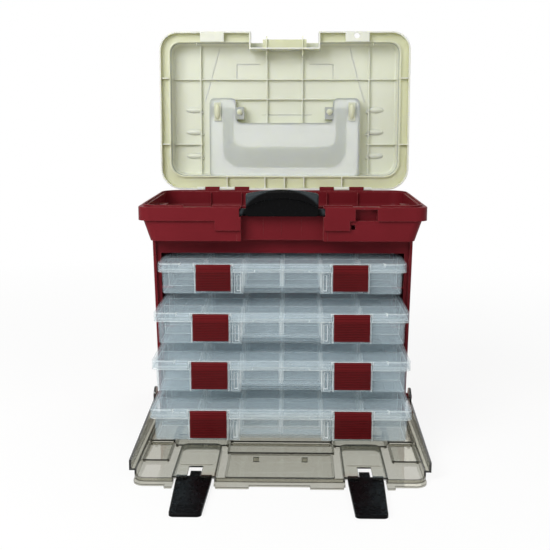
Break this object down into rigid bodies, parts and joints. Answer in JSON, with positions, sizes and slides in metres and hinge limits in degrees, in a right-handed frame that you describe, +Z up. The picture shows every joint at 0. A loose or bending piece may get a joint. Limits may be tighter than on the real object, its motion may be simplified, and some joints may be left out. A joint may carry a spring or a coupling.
{
  "type": "tackle box",
  "caption": "Rack tackle box: a lidded top tray with a folding handle over a rack of slide-out clear utility boxes, behind a fold-down smoked door.",
  "frame": {"origin": "on the surface that the box stands on, under the middle of the rack's width and depth", "axes": "+X to the right of the box, +Y towards its back, +Z up"},
  "size_m": [0.424, 0.6155, 0.6049],
  "materials": {
    "burgundy_plastic": "moulded polypropylene, satin gloss, burgundy",
    "ivory_plastic": "moulded polypropylene, slightly translucent ivory",
    "handle_plastic": "moulded polypropylene, ivory",
    "black_plastic": "moulded ABS, gloss black",
    "smoked_plastic": "moulded clear copolymer, smoked grey-brown, transparent",
    "clear_plastic": "moulded clear polypropylene, milky",
    "dark_red_plastic": "moulded polypropylene, dark red, fine grip ridges",
    "pin_steel": "drawn steel wire"
  },
  "bodies": {
    "cabinet": {"rack_body": "burgundy_plastic", "top_tray": "burgundy_plastic", "door_hinge_pin_left": "burgundy_plastic", "door_hinge_pin_right": "burgundy_plastic", "lid_hinge_pin_left": "pin_steel", "lid_hinge_pin_right": "pin_steel", "centre_latch_pin": "pin_steel"},
    "lid": {"lid": "ivory_plastic", "handle_pin_left": "handle_plastic", "handle_pin_right": "handle_plastic"},
    "handle": {"carry_handle": "handle_plastic"},
    "centre_latch": {"centre_latch": "black_plastic"},
    "door": {"door": "smoked_plastic", "door_latch_pin_left": "pin_steel", "door_latch_pin_right": "pin_steel"},
    "door_latch_left": {"door_latch_left": "black_plastic"},
    "door_latch_right": {"door_latch_right": "black_plastic"},
    "box_1": {"box_1_base": "clear_plastic", "box_1_lid": "clear_plastic", "box_1_hinge_pins": "pin_steel", "box_1_dividers": "clear_plastic"},
    "box_1_latch_left": {"box_1_latch_left": "dark_red_plastic"},
    "box_1_latch_right": {"box_1_latch_right": "dark_red_plastic"},
    "box_2": {"box_2_base": "clear_plastic", "box_2_lid": "clear_plastic", "box_2_hinge_pins": "pin_steel", "box_2_dividers": "clear_plastic"},
    "box_2_latch_left": {"box_2_latch_left": "dark_red_plastic"},
    "box_2_latch_right": {"box_2_latch_right": "dark_red_plastic"},
    "box_3": {"box_3_base": "clear_plastic", "box_3_lid": "clear_plastic", "box_3_hinge_pins": "pin_steel", "box_3_dividers": "clear_plastic"},
    "box_3_latch_left": {"box_3_latch_left": "dark_red_plastic"},
    "box_3_latch_right": {"box_3_latch_right": "dark_red_plastic"},
    "box_4": {"box_4_base": "clear_plastic", "box_4_lid": "clear_plastic", "box_4_hinge_pins": "pin_steel", "box_4_dividers": "clear_plastic"},
    "box_4_latch_left": {"box_4_latch_left": "dark_red_plastic"},
    "box_4_latch_right": {"box_4_latch_right": "dark_red_plastic"}
  },
  "joints": [
    {"name": "lid_hinge", "type": "hinge", "parent": "cabinet", "child": "lid", "pos_m": [0, 0.119, 0.341], "axis": [1, 0, 0], "range_deg": [0, 92.5]},
    {"name": "handle_pivot", "type": "hinge", "parent": "lid", "child": "handle", "pos_m": [0, 0.15023, 0.47176], "axis": [1, 0, 0], "range_deg": [0, 90]},
    {"name": "centre_latch_pivot", "type": "hinge", "parent": "cabinet", "child": "centre_latch", "pos_m": [0, -0.137, 0.329], "axis": [-1, 0, 0], "range_deg": [-60, 14]},
    {"name": "door_hinge", "type": "hinge", "parent": "cabinet", "child": "door", "pos_m": [0, -0.103, 0.041], "axis": [-1, 0, 0], "range_deg": [0, 6]},
    {"name": "door_latch_left_pivot", "type": "hinge", "parent": "door", "child": "door_latch_left", "pos_m": [-0.111, -0.341, 0.0052], "axis": [1, 0, 0], "range_deg": [0, 178.7]},
    {"name": "door_latch_right_pivot", "type": "hinge", "parent": "door", "child": "door_latch_right", "pos_m": [0.111, -0.341, 0.0052], "axis": [1, 0, 0], "range_deg": [0, 178.7]},
    {"name": "box_1_slide", "type": "slide", "parent": "cabinet", "child": "box_1", "axis": [0, 1, 0], "range_m": [-0.1465, 0.0435]},
    {"name": "box_1_latch_left_pivot", "type": "hinge", "parent": "box_1", "child": "box_1_latch_left", "pos_m": [-0.0982, -0.1741, 0.2556], "axis": [1, 0, 0], "range_deg": [-90, 0]},
    {"name": "box_1_latch_right_pivot", "type": "hinge", "parent": "box_1", "child": "box_1_latch_right", "pos_m": [0.0982, -0.1741, 0.2556], "axis": [1, 0, 0], "range_deg": [-90, 0]},
    {"name": "box_2_slide", "type": "slide", "parent": "cabinet", "child": "box_2", "axis": [0, 1, 0], "range_m": [-0.098, 0.092]},
    {"name": "box_2_latch_left_pivot", "type": "hinge", "parent": "box_2", "child": "box_2_latch_left", "pos_m": [-0.0982, -0.2226, 0.1941], "axis": [1, 0, 0], "range_deg": [-90, 0]},
    {"name": "box_2_latch_right_pivot", "type": "hinge", "parent": "box_2", "child": "box_2_latch_right", "pos_m": [0.0982, -0.2226, 0.1941], "axis": [1, 0, 0], "range_deg": [-90, 0]},
    {"name": "box_3_slide", "type": "slide", "parent": "cabinet", "child": "box_3", "axis": [0, 1, 0], "range_m": [-0.072, 0.118]},
    {"name": "box_3_latch_left_pivot", "type": "hinge", "parent": "box_3", "child": "box_3_latch_left", "pos_m": [-0.0982, -0.2486, 0.1326], "axis": [1, 0, 0], "range_deg": [-90, 0]},
    {"name": "box_3_latch_right_pivot", "type": "hinge", "parent": "box_3", "child": "box_3_latch_right", "pos_m": [0.0982, -0.2486, 0.1326], "axis": [1, 0, 0], "range_deg": [-90, 0]},
    {"name": "box_4_slide", "type": "slide", "parent": "cabinet", "child": "box_4", "axis": [0, 1, 0], "range_m": [-0.047, 0.143]},
    {"name": "box_4_latch_left_pivot", "type": "hinge", "parent": "box_4", "child": "box_4_latch_left", "pos_m": [-0.0982, -0.2736, 0.0711], "axis": [1, 0, 0], "range_deg": [-90, 0]},
    {"name": "box_4_latch_right_pivot", "type": "hinge", "parent": "box_4", "child": "box_4_latch_right", "pos_m": [0.0982, -0.2736, 0.0711], "axis": [1, 0, 0], "range_deg": [-90, 0]}
  ]
}
